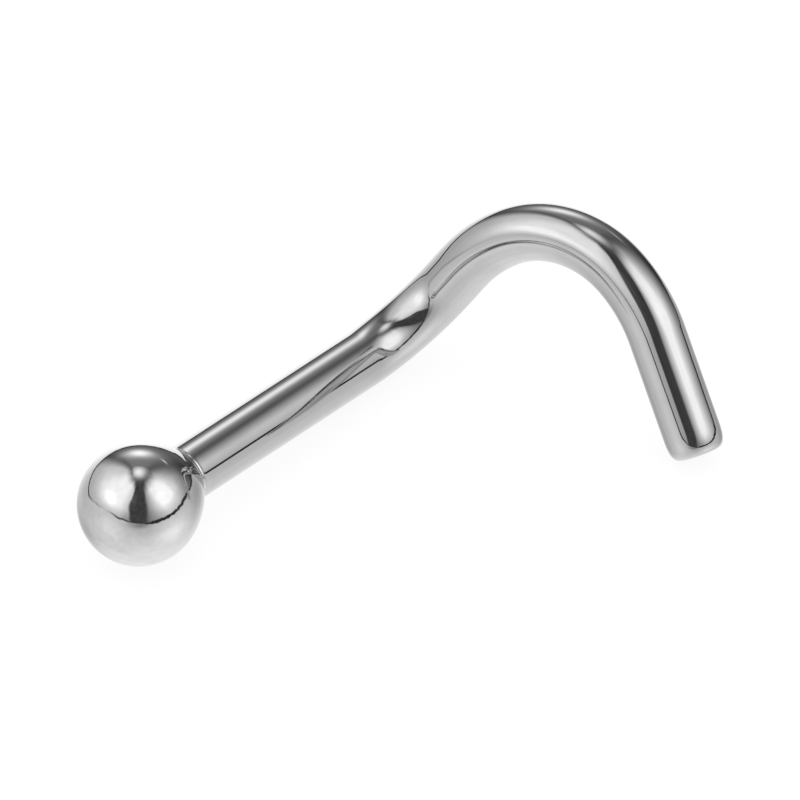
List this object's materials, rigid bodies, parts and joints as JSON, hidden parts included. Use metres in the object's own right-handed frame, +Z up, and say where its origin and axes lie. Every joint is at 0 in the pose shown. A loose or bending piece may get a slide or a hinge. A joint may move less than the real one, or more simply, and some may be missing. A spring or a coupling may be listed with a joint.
{
  "type": "nose screw",
  "caption": "Nose screw for a nostril piercing: a polished round wire with a ball on one end, a straight post, a corner bend, an open curl and a short tail with a rounded rim.",
  "frame": {"origin": "middle of the footprint, on the surface that the screw rests on", "axes": "+Z up from the surface, +X along the post from the ball to the corner as seen from above, +Y by the right-hand rule, so the tail's cut end lies on the -Y side"},
  "size_m": [0.01, 0.0072, 0.0035],
  "materials": {
    "polished_steel": "mirror polished surgical steel, plain metal all over"
  },
  "bodies": {
    "root": {"nose_screw": "polished_steel"}
  },
  "joints": []
}
